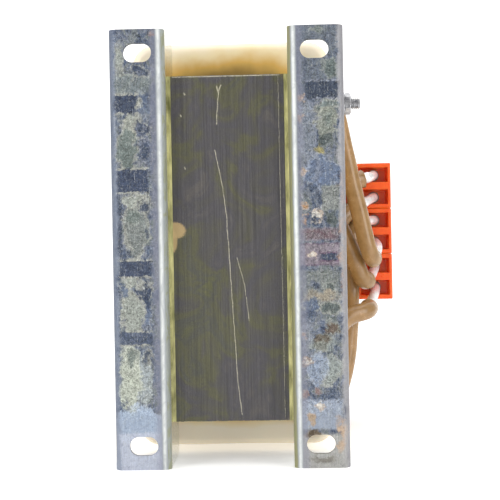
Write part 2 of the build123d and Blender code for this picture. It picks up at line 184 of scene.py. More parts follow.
def make_backdrop(floor_z):
    """Floor and backdrop in one sweep, open towards the camera."""
    width, near, far, radius, top = 3.0, -1.6, 1.5, 0.9, 2.6
    section = [(near, 0.0)]
    steps = 16
    for i in range(steps + 1):
        angle = math.pi / 2 * i / steps
        section.append((far - radius + radius * math.sin(angle), radius - radius * math.cos(angle)))
    section.append((far, top))
    mesh = bmesh.new()
    rows = [[mesh.verts.new((side * width, y, floor_z + z)) for y, z in section] for side in (-1, 1)]
    for i in range(len(section) - 1):
        mesh.faces.new((rows[0][i], rows[1][i], rows[1][i + 1], rows[0][i + 1]))
    data = bpy.data.meshes.new("backdrop")
    mesh.to_mesh(data)
    mesh.free()
    data.shade_smooth()
    backdrop = bpy.data.objects.new("backdrop", data)
    bpy.context.scene.collection.objects.link(backdrop)
    material, tree, surface = new_material("matt_white_paper")
    surface.inputs["Base Color"].default_value = linear("#fbfbfa")
    surface.inputs["Roughness"].default_value = 0.9
    surface.inputs["Emission Color"].default_value = linear("#ffffff")
    surface.inputs["Emission Strength"].default_value = 0.3
    dress(backdrop, material)


make_backdrop(solid_bounds[0][2])
soft_box("left_box", (-1.0, -0.9, 0.35), (0, 0.05, 0), 0.8, 1.3, 13)
soft_box("right_box", (1.1, -0.9, 0.35), (0, 0.05, 0), 0.8, 1.3, 12)
soft_box("top_box", (0.1, 0.2, 1.5), (0, 0.2, 0), 1.6, 1.4, 14)
world = bpy.data.worlds.new("studio")
world.use_nodes = True
sky = world.node_tree
sky.nodes.clear()
seen = add(sky, "ShaderNodeLightPath")
ambient = add(sky, "ShaderNodeBackground", {"Color": "#ffffff", "Strength": 0.42})
white = add(sky, "ShaderNodeBackground", {"Color": "#ffffff", "Strength": 1.0})
both = add(sky, "ShaderNodeMixShader", {0: seen, 1: ambient, 2: white})
add(sky, "ShaderNodeOutputWorld", {"Surface": both})
bpy.context.scene.world = world
bpy.context.scene.view_settings.view_transform = "Standard"


# Widths on a channel, in millimetres from the middle of the choke, and the pale rim of a dried stain
resin_rim = 0.45
bend_middle, bend_start, bend_inside = 34.4, 36.4, 33.4
web_band, web_outer = 39.4, 55.8


# Zinc-plated sheet steel, folded after rolling. To the eye: a soft metal sheen, slate blue to lilac,
# marbled by the impregnating resin that ran over it and dried in pale rimmed patches, with rust where
# the zinc is thin. Along the inner bends a white line is painted in as a highlight.
def stained_zinc(name, stains, outer_edge, inner_bend):
    """Each stain is (x, z, half width, half height, rim, heart, shape, strength), in millimetres."""
    material, tree, surface = new_material(name)
    place = place_mm(tree)
    x, y, z = split(tree, place)
    across = add(tree, "ShaderNodeMath", {0: x}, operation="ABSOLUTE")

    # Marbling about 8 mm across, drawn out upright, with streaks of 0.6 mm and flecks of 1.4 mm
    drawn = add(tree, "ShaderNodeVectorMath", {0: place, 1: (1.0, 1.0, 0.6)}, operation="MULTIPLY")
    clouds = add(tree, "ShaderNodeTexNoise", {"Vector": drawn, "Scale": 0.13, "Detail": 9.0,
                                              "Roughness": 0.72, "Distortion": 1.5})
    flecks = add(tree, "ShaderNodeTexNoise", {"Vector": place, "Scale": 0.7, "Detail": 6.0,
                                              "Roughness": 0.75, "Distortion": 1.5})
    thin = add(tree, "ShaderNodeVectorMath", {0: place, 1: (1.6, 1.0, 0.12)}, operation="MULTIPLY")
    streaks = add(tree, "ShaderNodeTexNoise", {"Vector": thin, "Scale": 1.0, "Detail": 4.0,
                                               "Roughness": 0.65})
    base = add(tree, "ShaderNodeValToRGB", {"Fac": clouds})
    ramp = base.node.color_ramp
    ramp.elements[0].position, ramp.elements[0].color = 0.34, linear("#353e51")
    ramp.elements[1].position, ramp.elements[1].color = 0.68, linear("#a2a3a4")
    for position, colour in ((0.41, "#48536a"), (0.47, "#606b7c"), (0.52, "#7b7f8c"), (0.57, "#69726f"),
                             (0.62, "#83868f")):
        element = ramp.elements.new(position)
        element.color = linear(colour)

    # Pools of resin wander by some 3 mm from their round shapes, dried patches by half a millimetre
    swirl = add(tree, "ShaderNodeTexNoise", {"Vector": place, "Scale": 0.11, "Detail": 7.0,
                                             "Roughness": 0.68}).node.outputs["Color"]
    swirl = add(tree, "ShaderNodeVectorMath", {0: swirl, 1: (0.5, 0.5, 0.5)}, operation="SUBTRACT")
    swirl = add(tree, "ShaderNodeVectorMath", {0: swirl, "Scale": 17.0}, operation="SCALE")
    ragged_noise = add(tree, "ShaderNodeTexNoise", {"Vector": place, "Scale": 0.35, "Detail": 7.0,
                                                    "Roughness": 0.75})
    frayed = add(tree, "ShaderNodeVectorMath", {0: ragged_noise.node.outputs["Color"],
                                                1: (0.5, 0.5, 0.5)}, operation="SUBTRACT")
    frayed = add(tree, "ShaderNodeVectorMath", {0: frayed, "Scale": 4.0}, operation="SCALE")
    patch_place = add(tree, "ShaderNodeVectorMath", {0: place, 1: frayed})
    pool_place = add(tree, "ShaderNodeVectorMath", {0: patch_place, 1: swirl})
    gaps = add(tree, "ShaderNodeMapRange", {"Value": clouds, "From Min": 0.5, "From Max": 0.42})
    on_face = add(tree, "ShaderNodeMapRange", {"Value": y, "From Min": 4.0, "From Max": 2.0})
    colour = base
    stained = 0.0
    for cx, cz, half_x, half_z, rim, heart, shape, strength in stains:
        start = patch_place if shape == "patch" else pool_place
        off = add(tree, "ShaderNodeVectorMath", {0: start, 1: (cx, 0, cz)}, operation="SUBTRACT")
        off = add(tree, "ShaderNodeVectorMath", {0: off, 1: (1 / half_x, 0, 1 / half_z)},
                  operation="MULTIPLY")
        if shape == "patch":
            rim_share = resin_rim / half_z
            off = add(tree, "ShaderNodeVectorMath", {0: off}, operation="ABSOLUTE")
            sides = split(tree, off)
            far = add(tree, "ShaderNodeMath", {0: sides[0], 1: sides[2]}, operation="MAXIMUM")
            deep = add(tree, "ShaderNodeMapRange", {"Value": sides[2], "From Min": 1.0 - rim_share,
                                                    "From Max": 1.0 - 2 * rim_share})
        else:
            rim_share = resin_rim / min(half_x, half_z)
            far = add(tree, "ShaderNodeVectorMath", {0: off}, operation="LENGTH")
            deep = add(tree, "ShaderNodeMapRange", {"Value": far, "From Min": 1.0,
                                                    "From Max": 1.0 - 3 * rim_share})
        deep = add(tree, "ShaderNodeMath", {0: deep, 1: gaps}, operation="MAXIMUM")
        inside = add(tree, "ShaderNodeMapRange", {"Value": far, "From Min": 1.0 + 1.6 * rim_share,
                                                  "From Max": 1.0 - 1.6 * rim_share})
        mask = add(tree, "ShaderNodeMath", {0: inside, 1: on_face}, operation="MULTIPLY")
        mask = add(tree, "ShaderNodeMath", {0: mask, 1: strength}, operation="MULTIPLY")
        hue = add(tree, "ShaderNodeMix", {"Factor": deep, "A": rim, "B": heart}, data_type="RGBA")
        colour = add(tree, "ShaderNodeMix", {"Factor": mask, "A": colour, "B": hue}, data_type="RGBA")
        stained = add(tree, "ShaderNodeMath", {0: stained, 1: mask}, operation="MAXIMUM")

    # Dry crusts of resin as light flecks, pits as dark ones, and worn streaks over all of it
    crust = add(tree, "ShaderNodeMapRange", {"Value": flecks, "From Min": 0.54, "From Max": 0.67,
                                             "To Max": 0.55})
    colour = add(tree, "ShaderNodeMix", {"Factor": crust, "A": colour, "B": "#b4b5ad"}, data_type="RGBA")
    pits = add(tree, "ShaderNodeMapRange", {"Value": flecks, "From Min": 0.44, "From Max": 0.3,
                                            "To Max": 0.65})
    colour = add(tree, "ShaderNodeMix", {"Factor": pits, "A": colour, "B": "#333c4d"}, data_type="RGBA")
    scores = add(tree, "ShaderNodeMapRange", {"Value": streaks, "From Min": 0.6, "From Max": 0.7,
                                              "To Max": 0.6})
    colour = add(tree, "ShaderNodeMix", {"Factor": scores, "A": colour, "B": "#b9bbb9"}, data_type="RGBA")
    shade = add(tree, "ShaderNodeMapRange", {"Value": streaks, "From Min": 0.3, "From Max": 0.7,
                                             "To Min": 0.82, "To Max": 1.14})
    # Light and dark of some 2 mm over the stains too, fainter on the smooth lower ends
    marble = add(tree, "ShaderNodeTexNoise", {"Vector": place, "Scale": 0.45, "Detail": 7.0,
                                              "Roughness": 0.78, "Distortion": 2.0})
    grit = add(tree, "ShaderNodeMapRange", {"Value": marble, "From Min": 0.36, "From Max": 0.64,
                                            "To Min": 0.26, "To Max": 1.3})
    low_end = add(tree, "ShaderNodeMapRange", {"Value": z, "From Min": -80.0, "From Max": -88.0,
                                               "To Max": 0.75})
    grit = add(tree, "ShaderNodeMix", {"Factor": low_end, "A": grit, "B": 0.72})
    grit = add(tree, "ShaderNodeMath", {0: grit, 1: shade}, operation="MULTIPLY")
    colour = add(tree, "ShaderNodeVectorMath", {0: colour, "Scale": grit}, operation="SCALE")

    # Lilac band beside the inner bend, and the outer edge
    drift = add(tree, "ShaderNodeMapRange", {"Value": clouds, "From Min": 0.3, "From Max": 0.7,
                                             "To Min": -1.6, "To Max": 1.6})
    edge = add(tree, "ShaderNodeMath", {0: across, 1: drift})
    band = add(tree, "ShaderNodeMapRange", {"Value": edge, "From Min": web_band, "From Max": web_band - 1.8,
                                            "To Max": 0.5})
    colour = add(tree, "ShaderNodeMix", {"Factor": band, "A": colour, "B": "#7d7f8d"}, data_type="RGBA")
    outer = add(tree, "ShaderNodeMapRange", {"Value": edge, "From Min": web_outer,
                                             "From Max": web_outer + 1.8, "To Max": 0.7})
    colour = add(tree, "ShaderNodeMix", {"Factor": outer, "A": colour, "B": outer_edge}, data_type="RGBA")

    # The inner bend: a painted highlight, a white line on its outside, and a grey-green tint on its inside;
    # the upright stays bright metal
    bend = add(tree, "ShaderNodeMapRange", {"Value": across, "From Min": bend_start,
                                            "From Max": bend_start - 1.2})
    # Painted highlight: strongest at bend_middle, patchy with the clouds and streaks, grey at its flanks
    # and near white in its middle
    painted_highlight_share = add(tree, "ShaderNodeMath", {0: across, 1: -bend_middle})
    painted_highlight_share = add(tree, "ShaderNodeMath", {0: painted_highlight_share}, operation="ABSOLUTE")
    painted_highlight_share = add(tree, "ShaderNodeMapRange", {"Value": painted_highlight_share, "From Min": 1.5, "From Max": 0.2})
    highlight_patchiness = add(tree, "ShaderNodeMapRange", {"Value": clouds, "From Min": 0.38, "From Max": 0.6,
                                            "To Min": 0.6, "To Max": 1.15})
    painted_highlight_share = add(tree, "ShaderNodeMath", {0: painted_highlight_share, 1: shade}, operation="MULTIPLY")
    painted_highlight_share = add(tree, "ShaderNodeMath", {0: painted_highlight_share, 1: highlight_patchiness}, operation="MULTIPLY")
    painted_bend_highlight = add(tree, "ShaderNodeMix", {"Factor": painted_highlight_share, "A": "#85898f", "B": "#cdd0ce"}, data_type="RGBA")
    colour = add(tree, "ShaderNodeMix", {"Factor": bend, "A": colour, "B": painted_bend_highlight}, data_type="RGBA")
    drift = add(tree, "ShaderNodeMapRange", {"Value": streaks, "From Min": 0.3, "From Max": 0.7,
                                             "To Min": -0.5, "To Max": 0.5})
    edge = add(tree, "ShaderNodeMath", {0: across, 1: drift})
    inner = add(tree, "ShaderNodeMapRange", {"Value": edge, "From Min": bend_inside,
                                             "From Max": bend_inside - 1.0})
    yellowed = add(tree, "ShaderNodeMapRange", {"Value": clouds, "From Min": 0.5, "From Max": 0.56,
                                                "To Max": 0.6})
    tinted = add(tree, "ShaderNodeMix", {"Factor": yellowed, "A": inner_bend, "B": "#8f9168"},
                 data_type="RGBA")
    colour = add(tree, "ShaderNodeMix", {"Factor": inner, "A": colour, "B": tinted}, data_type="RGBA")
    upright = add(tree, "ShaderNodeMapRange", {"Value": y, "From Min": 3.5, "From Max": 6.0})
    upright = add(tree, "ShaderNodeMath", {0: upright, 1: bend}, operation="MULTIPLY")
    colour = add(tree, "ShaderNodeMix", {"Factor": upright, "A": colour, "B": "#dfe0da"},
                 data_type="RGBA")
    tree.links.new(colour, surface.inputs["Base Color"])

    metal = add(tree, "ShaderNodeMapRange", {"Value": stained, "To Min": 0.3, "To Max": 0.0})
    metal = add(tree, "ShaderNodeMix", {"Factor": upright, "A": metal, "B": 0.95})
    tree.links.new(metal, surface.inputs["Metallic"])
    surface.inputs["Specular IOR Level"].default_value = 0.25
    matt = add(tree, "ShaderNodeMath", {0: flecks, 1: 0.3, 2: 0.32}, operation="MULTIPLY_ADD")
    rough = add(tree, "ShaderNodeMix", {"Factor": upright, "A": matt, "B": 0.2})
    tree.links.new(rough, surface.inputs["Roughness"])
    bump = add(tree, "ShaderNodeBump", {"Strength": 0.4, "Distance": 0.0002, "Height": ragged_noise})
    tree.links.new(bump, surface.inputs["Normal"])
    return material


NAVY, SLATE, BLUE, LAVENDER = "#394459", "#3f495c", "#5f6c82", "#868b99"
CREAM, SAND, OLIVE, MOSS, PINE = "#b0b0a4", "#979c94", "#6b7571", "#7b807d", "#4a5352"
RUST, BROWN, ORANGE, PEACH, CHALK = "#875433", "#655546", "#a98058", "#bda48c", "#c9c4bb"
left_stains = [
    (-54, 107, 2.2, 3, LAVENDER, BLUE, "pool", 0.8),
    (-54, 97, 2.6, 8, CREAM, SAND, "pool", 0.8),
    (-48, 84, 9.5, 5, SAND, "#757d7c", "patch", 0.75),
    (-44, 90, 4, 4, CREAM, SLATE, "pool", 0.9),
    (-44.5, 89.5, 1.6, 1.6, LAVENDER, NAVY, "pool", 0.8),
    (-42, 71, 3.5, 9, LAVENDER, BLUE, "pool", 0.6),
    (-51.2, 74, 5.9, 5.2, CREAM, "#384257", "patch", 0.97),
    (-44.8, 73, 1.4, 2.2, CREAM, CREAM, "pool", 0.9),
    (-50.5, 63, 2.8, 5, CREAM, SAND, "pool", 0.95),
    (-48.3, 66.6, 6.4, 1.6, CREAM, SAND, "pool", 0.9),
    (-51.3, 51, 5.6, 12, CREAM, OLIVE, "pool", 0.95),
    (-44, 61, 4.2, 5, CREAM, NAVY, "pool", 0.9),
    (-44.3, 60.5, 2.2, 2.6, LAVENDER, SLATE, "pool", 0.9),
    (-42.5, 50, 3, 6.5, LAVENDER, NAVY, "pool", 0.85),
    (-48.4, 35, 8.2, 6.4, CREAM, "#3a445a", "patch", 0.97),
    (-47, 10, 6, 16.5, CREAM, MOSS, "pool", 0.92),
    (-48, 25, 5.8, 3.6, CREAM, SAND, "pool", 0.9),
    (-47.5, 16, 3, 4.4, SAND, OLIVE, "pool", 0.9),
    (-43, 21.5, 3.2, 5, CREAM, NAVY, "pool", 0.88),
    (-43, 8, 2, 3, SAND, SLATE, "pool", 0.8),
    (-56.2, 12, 1.9, 16, LAVENDER, SLATE, "patch", 0.85),
    (-50, -16.5, 6, 2.4, CREAM, SAND, "pool", 0.9),
    (-49.7, -32, 5.6, 11, CREAM, SAND, "pool", 0.95),
    (-53.7, -22, 2.8, 4.4, CREAM, BLUE, "pool", 0.9),
    (-42.8, -22, 3.6, 5.4, CREAM, NAVY, "pool", 0.92),
    (-42, -34.5, 2.4, 6, LAVENDER, BLUE, "pool", 0.85),
    (-48, -9.7, 8.5, 4.6, CREAM, "#3c465b", "patch", 0.97),
    (-43.7, -66, 4.4, 14, "#b9bfbc", "#a8b0b0", "pool", 0.75),
    (-51, -66, 5.4, 19, "#c2c6b8", "#b6bbac", "pool", 0.88),
    (-50, -55, 2.8, 4.6, SAND, OLIVE, "pool", 0.85),
    (-42.2, -54, 2.4, 4, CREAM, SLATE, "pool", 0.9),
    (-48.1, -45.1, 8, 3.7, CREAM, "#4d576b", "patch", 0.95),
    (-47, -90, 13, 10, "#b4c0d0", "#acbbd0", "pool", 0.85),
    (-48, -106, 12.5, 13, "#c0c6d6", "#c5cbdb", "patch", 0.85),
    (-44.7, 108.2, 1.1, 1.2, SLATE, PINE, "pool", 0.9),
    (-36.2, 108.8, 1.9, 1.1, ORANGE, RUST, "pool", 0.95),
]
right_stains = [
    (47.6, 96, 11, 18, LAVENDER, "#5f6773", "patch", 0.65),
    (46.6, 110, 3.2, 1.8, SAND, OLIVE, "pool", 0.8),
    (53, 89, 4, 4.8, SAND, "#5a6562", "pool", 0.85),
    (40.5, 59, 4.6, 18, LAVENDER, "#7f8690", "pool", 0.75),
    (48.6, 79.2, 8.5, 4.9, LAVENDER, "#394253", "patch", 0.96),
    (50.5, 71, 6.4, 3.4, CREAM, OLIVE, "pool", 0.85),
    (50.5, 62.4, 5.2, 8, CREAM, "#7c8177", "pool", 0.92),
    (50.8, 63.5, 2.4, 3.8, SAND, OLIVE, "pool", 0.8),
    (50.6, 53, 4, 3.6, MOSS, PINE, "pool", 0.9),
    (47, 47.5, 2.9, 3.4, "#a09a72", "#a0955f", "pool", 0.9),
    (47.8, 37.2, 9, 8, "#a3acba", "#63718a", "pool", 0.8),
    (45.5, 37, 1.2, 9, LAVENDER, "#8a93a0", "pool", 0.7),
    (52, 24.4, 4.4, 6.2, SAND, "#858883", "patch", 0.85),
    (52, 14.8, 3.4, 3.2, MOSS, PINE, "pool", 0.92),
    (38.2, 39, 1.5, 2.4, PEACH, PEACH, "pool", 0.8),
    (37.4, 74.8, 1.2, 1.5, PEACH, ORANGE, "pool", 0.7),
    (37.3, 65.2, 1.2, 1.5, PEACH, ORANGE, "pool", 0.7),
    (39.9, 20.4, 1.8, 1.8, PEACH, ORANGE, "pool", 0.95),
    (39, 14, 1.5, 1.6, PEACH, ORANGE, "pool", 0.95),
    (44.6, 14.7, 2.4, 2.2, PEACH, CHALK, "pool", 0.95),
    (45.7, 6.2, 10.2, 3, "#8b7f86", "#76686c", "patch", 0.9),
    (47, 7, 8, 0.8, "#6b5258", "#583f47", "pool", 0.85),
    (45.9, -4, 10.6, 5.6, "#664c62", "#857b84", "patch", 0.92),
    (50.6, -5.4, 4.6, 2.3, "#5d3f59", NAVY, "patch", 0.95),
    (42.5, -5.2, 2.9, 2.1, PEACH, "#d8d2c8", "pool", 0.98),
    (46, -19, 10, 7, MOSS, "#7b7f78", "patch", 0.6),
    (42.5, -18.7, 2.5, 2.8, LAVENDER, NAVY, "pool", 0.85),
    (49.8, -21.8, 3.3, 3.3, SAND, PINE, "pool", 0.85),
    (46.4, -25.2, 9.6, 1.9, "#a79f90", "#9c917e", "pool", 0.85),
    (41.5, -30.4, 5.4, 4.2, CREAM, "#5a677d", "pool", 0.9),
    (50.6, -31, 4.4, 3.8, CREAM, "#565f5d", "pool", 0.88),
    (39, -46, 3.4, 8.5, LAVENDER, "#8c9199", "pool", 0.8),
    (52, -42, 4.6, 3.6, SAND, BROWN, "pool", 0.88),
    (46.7, -48.6, 3.8, 4.8, SAND, "#605442", "pool", 0.88),
    (37.7, -44, 1.6, 1.7, PEACH, ORANGE, "pool", 0.85),
    (50.5, -62, 5.6, 8, CREAM, "#969d98", "pool", 0.8),
    (44, -62, 4.0, 9, "#b3b9c4", "#94a1b5", "pool", 0.7),
    (47, -50, 9, 3, SAND, "#8f9690", "pool", 0.6),
    (38.9, -59, 2.8, 3.2, ORANGE, CHALK, "pool", 0.85),
    (45, -85, 11, 7.5, "#aeb4bf", "#a9b3c3", "patch", 0.75),
    (37.1, -75.2, 1.6, 2.1, PEACH, RUST, "pool", 0.95),
    (42.7, -72.5, 2.1, 1.6, "#978079", "#7f635f", "pool", 0.8),
    (44.4, -80, 2.5, 2.4, PEACH, CHALK, "pool", 0.95),
    (39.7, -87, 2.4, 2.5, PEACH, "#ad9679", "pool", 0.9),
    (46, -104, 12.5, 9, "#c3c1ba", "#bfbdb6", "patch", 0.75),
    (40.3, -95.2, 3.8, 3, "#8b7960", "#594931", "pool", 0.92),
    (46.2, -107, 6.4, 1.8, "#87837a", "#6d655a", "pool", 0.7),
    (55.7, -96, 2.2, 7.5, PEACH, "#ccb298", "pool", 0.95),
    (58.4, 4, 1.4, 28, ORANGE, "#a9806a", "pool", 0.8),
]
far_stains = [
    (45.0, 60, 10, 20, SAND, OLIVE, "pool", 0.6),
    (-45.0, -20, 10, 24, CREAM, SAND, "pool", 0.6),
    (46.0, -50, 9, 12, BLUE, SLATE, "pool", 0.6),
]
zinc_left = stained_zinc("zinc_plated_sheet_left", left_stains, "#727a8a", "#9da29d")
zinc_right = stained_zinc("zinc_plated_sheet_right", right_stains, "#9c9a9c", "#8f8d6c")
zinc_far = stained_zinc("zinc_plated_sheet_far", far_stains, "#8a8c95", "#9da29d")
dress(nodes["mounting_channel_left"], zinc_left)
dress(nodes["mounting_channel_right"], zinc_right)
dress(nodes["top_channel_left"], zinc_far)
dress(nodes["top_channel_right"], zinc_far)


# Electrical steel sheets, punched, stacked and dipped in varnish. To the eye: a dark grey face with
# fine upright lines, olive and brown where the varnish lies thick, bright where it was scratched, and a
# painted highlight line along its top edge.
def varnished_laminations(scratches_and_highlights, runs):
    """Scratches, with one painted highlight line among them, are (width, points) and runs (x, z, half
    width, half height), in millimetres.
    """
    material, tree, surface = new_material("varnished_electrical_steel")
    place = place_mm(tree)
    x, y, z = split(tree, place)
    # One tone per 0.5 mm sheet, and varnish clouds about 25 mm across
    stretched = add(tree, "ShaderNodeVectorMath", {0: place, 1: (1.0, 0.01, 0.012)}, operation="MULTIPLY")
    lines = add(tree, "ShaderNodeTexNoise", {"Vector": stretched, "Scale": 1.6, "Detail": 3.0,
                                             "Roughness": 0.75})
    varnish = add(tree, "ShaderNodeTexNoise", {"Vector": place, "Scale": 0.04, "Detail": 5.0,
                                               "Roughness": 0.6, "Distortion": 0.9})
    grain = add(tree, "ShaderNodeTexNoise", {"Vector": place, "Scale": 1.8, "Detail": 4.0,
                                             "Roughness": 0.7})
    steel = add(tree, "ShaderNodeValToRGB", {"Fac": varnish})
    ramp = steel.node.color_ramp
    ramp.elements[0].position, ramp.elements[0].color = 0.32, linear("#57534f")
    ramp.elements[1].position, ramp.elements[1].color = 0.72, linear("#565639")
    for position, hue in ((0.42, "#48464a"), (0.5, "#4c4a45"), (0.57, "#53523c"), (0.64, "#4a4a44")):
        element = ramp.elements.new(position)
        element.color = linear(hue)
    tone = add(tree, "ShaderNodeMapRange", {"Value": lines, "From Min": 0.3, "From Max": 0.7,
                                            "To Min": 0.62, "To Max": 1.3})
    lift = add(tree, "ShaderNodeMapRange", {"Value": grain, "From Min": 0.3, "From Max": 0.7,
                                            "To Min": 0.6, "To Max": 1.4})
    tone = add(tree, "ShaderNodeMath", {0: tone, 1: lift}, operation="MULTIPLY")
    colour = add(tree, "ShaderNodeVectorMath", {0: steel, "Scale": tone}, operation="SCALE")

    # Tan resin that ran from the uprights onto the sheets
    for cx, cz, half_x, half_z in runs:
        flat = add(tree, "ShaderNodeVectorMath", {0: place, 1: (cx, 0, cz)}, operation="SUBTRACT")
        flat = add(tree, "ShaderNodeVectorMath", {0: flat, 1: (1 / half_x, 0, 1 / half_z)},
                   operation="MULTIPLY")
        far = add(tree, "ShaderNodeVectorMath", {0: flat}, operation="LENGTH")
        far = add(tree, "ShaderNodeMath", {0: grain, 1: 0.9, 2: far}, operation="MULTIPLY_ADD")
        wet = add(tree, "ShaderNodeMapRange", {"Value": far, "From Min": 1.5, "From Max": 1.3,
                                               "To Max": 0.85})
        colour = add(tree, "ShaderNodeMix", {"Factor": wet, "A": colour, "B": "#b59c6e"},
                     data_type="RGBA")

    # Scratches through the varnish, and a painted highlight line along the top edge, by the distance to
    # each straight piece of them
    wave = add(tree, "ShaderNodeTexNoise", {"Vector": place, "Scale": 0.3, "Detail": 4.0})
    wave = add(tree, "ShaderNodeMapRange", {"Value": wave, "To Min": -0.5, "To Max": 0.5})
    flat = add(tree, "ShaderNodeCombineXYZ", {0: add(tree, "ShaderNodeMath", {0: x, 1: wave}), 2: z})
    bare = 0.0
    for width, points in scratches_and_highlights:
        for (x0, z0), (x1, z1) in zip(points, points[1:]):
            run = Vector((x1 - x0, 0, z1 - z0))
            off = add(tree, "ShaderNodeVectorMath", {0: flat, 1: (x0, 0, z0)}, operation="SUBTRACT")
            along = add(tree, "ShaderNodeVectorMath", {0: off, 1: run / run.length_squared},
                        operation="DOT_PRODUCT")
            along = add(tree, "ShaderNodeMath", {0: along, 1: 1.0}, operation="MULTIPLY", use_clamp=True)
            foot = add(tree, "ShaderNodeVectorMath", {0: run, "Scale": along}, operation="SCALE")
            gap = add(tree, "ShaderNodeVectorMath", {0: off, 1: foot}, operation="DISTANCE")
            near = add(tree, "ShaderNodeMapRange", {"Value": gap, "From Min": width, "From Max": 0.0})
            bare = add(tree, "ShaderNodeMath", {0: bare, 1: near}, operation="MAXIMUM")
    broken = add(tree, "ShaderNodeMapRange", {"Value": grain, "From Min": 0.4, "From Max": 0.54})
    bare = add(tree, "ShaderNodeMath", {0: bare, 1: broken}, operation="MULTIPLY")
    on_face = add(tree, "ShaderNodeMapRange", {"Value": y, "From Min": 12.0, "From Max": 11.0})
    bare = add(tree, "ShaderNodeMath", {0: bare, 1: on_face}, operation="MULTIPLY")
    colour = add(tree, "ShaderNodeMix", {"Factor": bare, "A": colour, "B": "#cdc7b0"}, data_type="RGBA")
    tree.links.new(colour, surface.inputs["Base Color"])
    surface.inputs["Metallic"].default_value = 0.2
    rough = add(tree, "ShaderNodeMapRange", {"Value": varnish, "To Min": 0.62, "To Max": 0.38})
    tree.links.new(rough, surface.inputs["Roughness"])
    bump = add(tree, "ShaderNodeBump", {"Strength": 0.35, "Distance": 0.0001, "Height": grain})
    tree.links.new(bump, surface.inputs["Normal"])
    return material


core_scratches_and_edge_highlight = [
    (0.35, [(-4.0, 82.5), (-4.8, 76), (-5.8, 64)]),
    (0.3, [(-6.8, 50.5), (-3.2, 31.5), (-1.6, 18.5), (-0.5, -1.5), (0.5, -22), (1.6, -42.5),
           (2.6, -65.5), (4.7, -86)]),
    (0.25, [(3.6, -5), (7.3, -19.5), (9.3, -37.5)]),
    (0.45, [(-5.4, 83.5), (-4.5, 80.5), (-3.2, 84)]),
    (0.16, [(26.3, 88), (26.6, 20), (27.0, -88)]),
    # Not a scratch: a painted highlight line along the top edge of the stack
    (0.45, [(-28, 88.7), (0, 88.7), (27, 88.7)]),
    (0.5, [(-22.2, 80.3), (-21.8, 79.5)]),
    (0.5, [(-22.6, 42.0), (-22.3, 41.2)]),
    (0.5, [(-24.2, 69.0), (-23.9, 68.4)]),
]
resin_runs = [(-28.5, 9.5, 6.0, 4.5), (-29.5, 4.0, 2.5, 6.0)]
lamination_steel = varnished_laminations(core_scratches_and_edge_highlight, resin_runs)
sheet_thickness, sheet_gap = 0.5, 0.04
leg_width, yoke_height = 36.0, 36.0


def make_stack(name, outline):
    """A stack of punched sheets, each a little out of line. outline holds the (y, z) corners."""
    low, high = span(name)
    chance = random.Random(name)
    mesh = bmesh.new()
    x = low.x
    while x < high.x - sheet_gap:
        slip_y, slip_z = chance.uniform(0, 0.1), chance.uniform(-0.12, 0.12)
        rows = []
        for side_x in (x, min(x + sheet_thickness - sheet_gap, high.x)):
            rows.append([mesh.verts.new(Vector((side_x, y + slip_y, z + slip_z)) * MM) for y, z in outline])
        mesh.faces.new(rows[0])
        mesh.faces.new(reversed(rows[1]))
        for i in range(len(outline)):
            j = (i + 1) % len(outline)
            mesh.faces.new((rows[0][j], rows[0][i], rows[1][i], rows[1][j]))
        x += sheet_thickness
    finish_piece(name + "_sheets", mesh, lamination_steel, [name], smooth=False)


e_low, e_high = span("core_e_stack")
i_low, i_high = span("core_i_stack")
window_y = e_low.y + yoke_height
leg_edges = [e_high.z - leg_width, leg_width / 2, -leg_width / 2, e_low.z + leg_width]
make_stack("core_e_stack", [
    (e_low.y, e_low.z), (e_low.y, e_high.z), (e_high.y, e_high.z), (e_high.y, leg_edges[0]),
    (window_y, leg_edges[0]), (window_y, leg_edges[1]), (e_high.y, leg_edges[1]),
    (e_high.y, leg_edges[2]), (window_y, leg_edges[2]), (window_y, leg_edges[3]),
    (e_high.y, leg_edges[3]), (e_high.y, e_low.z),
])
make_stack("core_i_stack", [
    (i_low.y, i_low.z), (i_low.y, i_high.z), (i_high.y, i_high.z), (i_high.y, i_low.z),
])
